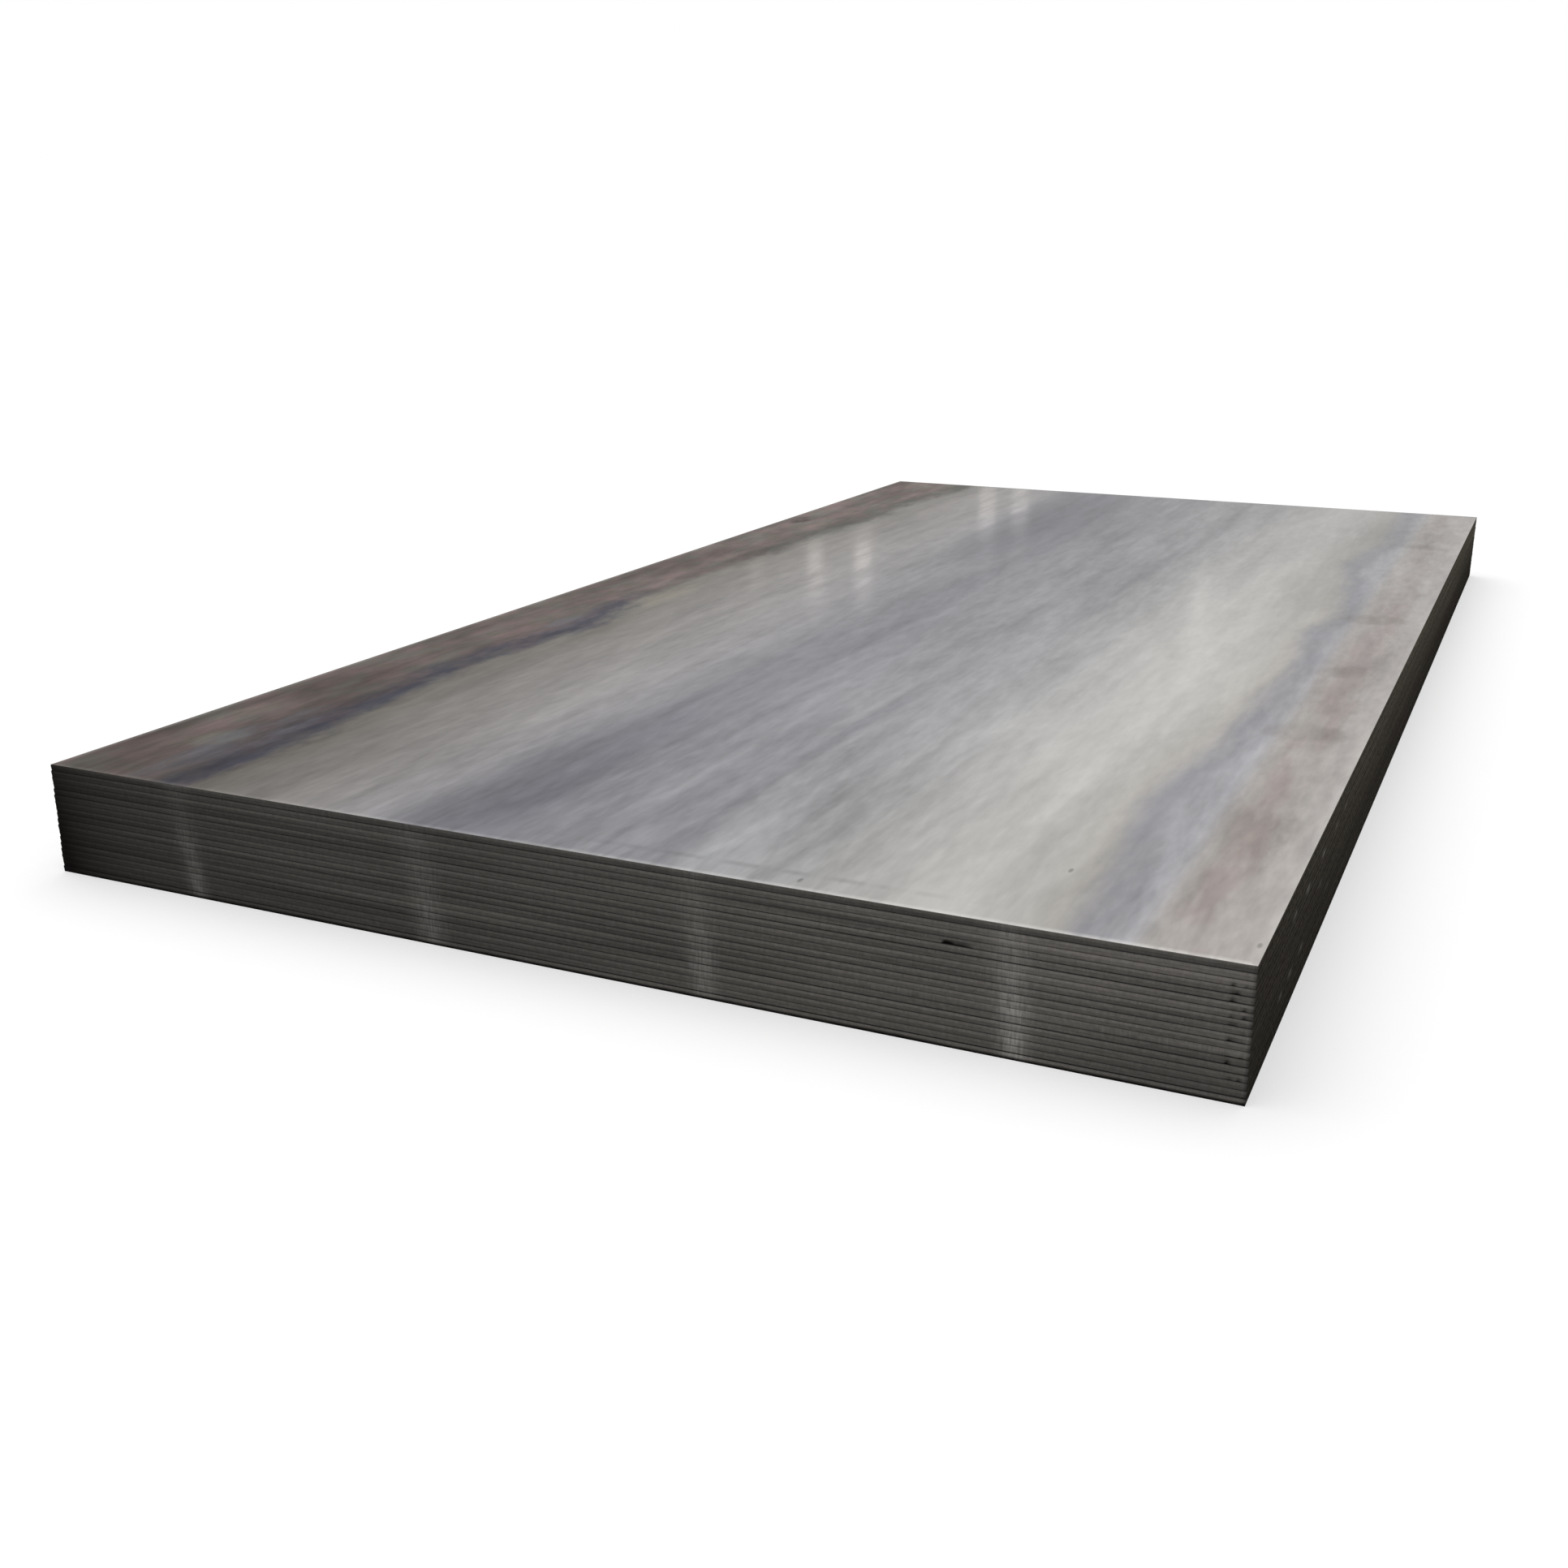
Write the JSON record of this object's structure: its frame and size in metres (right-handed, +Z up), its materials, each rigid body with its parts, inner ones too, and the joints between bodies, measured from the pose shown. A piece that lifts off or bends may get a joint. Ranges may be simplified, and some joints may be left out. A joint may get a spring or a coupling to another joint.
{
  "type": "stack of steel plates",
  "caption": "Flush stack of flat rectangular hot-rolled steel plates with sheared edges, raw stock that lies on its lowest plate.",
  "frame": {"origin": "centre of the lowest plate's underside, on the surface that the stack lies on", "axes": "+X across the plates, +Y along them in the rolling direction, +Z up through the stack"},
  "size_m": [1.5002, 3.0006, 0.144],
  "materials": {
    "hot_rolled_steel": "hot-rolled: satin grey mill scale with streaks along the rolling direction, brown and blue tint bands by the long sides, dark sheared edges"
  },
  "bodies": {
    "root": {"plate_01": "hot_rolled_steel", "plate_02": "hot_rolled_steel", "plate_03": "hot_rolled_steel", "plate_04": "hot_rolled_steel", "plate_05": "hot_rolled_steel", "plate_06": "hot_rolled_steel", "plate_07": "hot_rolled_steel", "plate_08": "hot_rolled_steel", "plate_09": "hot_rolled_steel", "plate_10": "hot_rolled_steel", "plate_11": "hot_rolled_steel", "plate_12": "hot_rolled_steel", "plate_13": "hot_rolled_steel", "plate_14": "hot_rolled_steel", "plate_15": "hot_rolled_steel", "plate_16": "hot_rolled_steel", "plate_17": "hot_rolled_steel", "plate_18": "hot_rolled_steel"}
  },
  "joints": []
}
